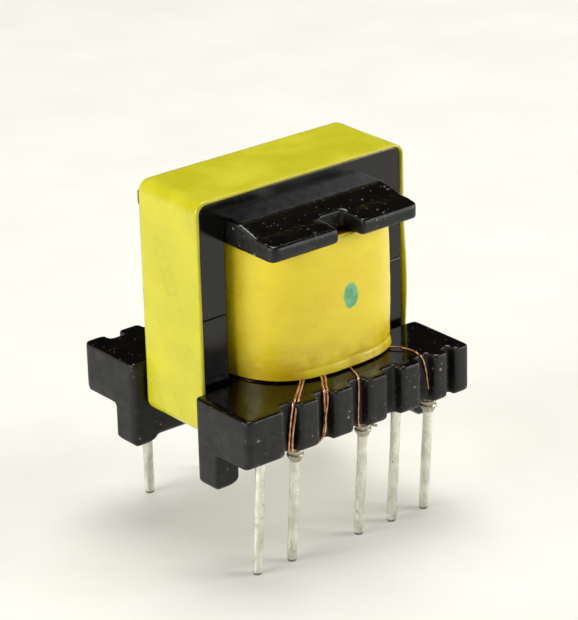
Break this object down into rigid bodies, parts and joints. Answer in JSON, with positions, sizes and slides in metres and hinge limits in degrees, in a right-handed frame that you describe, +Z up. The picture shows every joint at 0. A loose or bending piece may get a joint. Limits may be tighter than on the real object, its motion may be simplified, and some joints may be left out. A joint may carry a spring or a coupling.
{
  "type": "pcb transformer",
  "caption": "Small ferrite-core switching transformer on a vertical moulded bobbin with two rows of solder pins, a taped coil and a taped core.",
  "frame": {"origin": "centre of the footprint at the level of the pin tips", "axes": "+Z up along the pins, +X along the pin rows, -Y towards the six-position row"},
  "size_m": [0.0184, 0.0174, 0.0241],
  "materials": {
    "ferrite": "satin sintered ferrite, ground edges",
    "core_tape": "lemon yellow polyester film tape",
    "coil_tape": "amber yellow polyester film tape, varnished",
    "bobbin": "black moulded phenolic, dusty and worn at the edges",
    "pin": "dull tinned wire",
    "winding": "enamelled copper wire",
    "wire": "enamelled copper wire",
    "solder": "dull solder over wrapped wire"
  },
  "bodies": {
    "root": {"core_upper": "ferrite", "core_lower": "ferrite", "core_tape": "core_tape", "bobbin": "bobbin", "pin_front_1": "pin", "pin_front_2": "pin", "pin_front_4": "pin", "pin_front_5": "pin", "pin_front_6": "pin", "pin_back_1": "pin", "pin_back_3": "pin", "pin_back_4": "pin", "pin_back_5": "pin", "inner_winding": "winding", "layer_tape": "coil_tape", "outer_winding": "winding", "coil_tape": "coil_tape", "lead_front_2a": "wire", "lead_front_2b": "wire", "lead_front_2c": "wire", "lead_front_2d": "wire", "lead_front_4": "wire", "lead_front_6": "wire", "lead_back_1": "wire", "lead_back_4": "wire", "lead_back_5": "wire", "solder_front_2": "solder", "solder_front_4": "solder", "solder_front_6": "solder", "solder_back_1": "solder", "solder_back_4": "solder", "solder_back_5": "solder"}
  },
  "joints": []
}
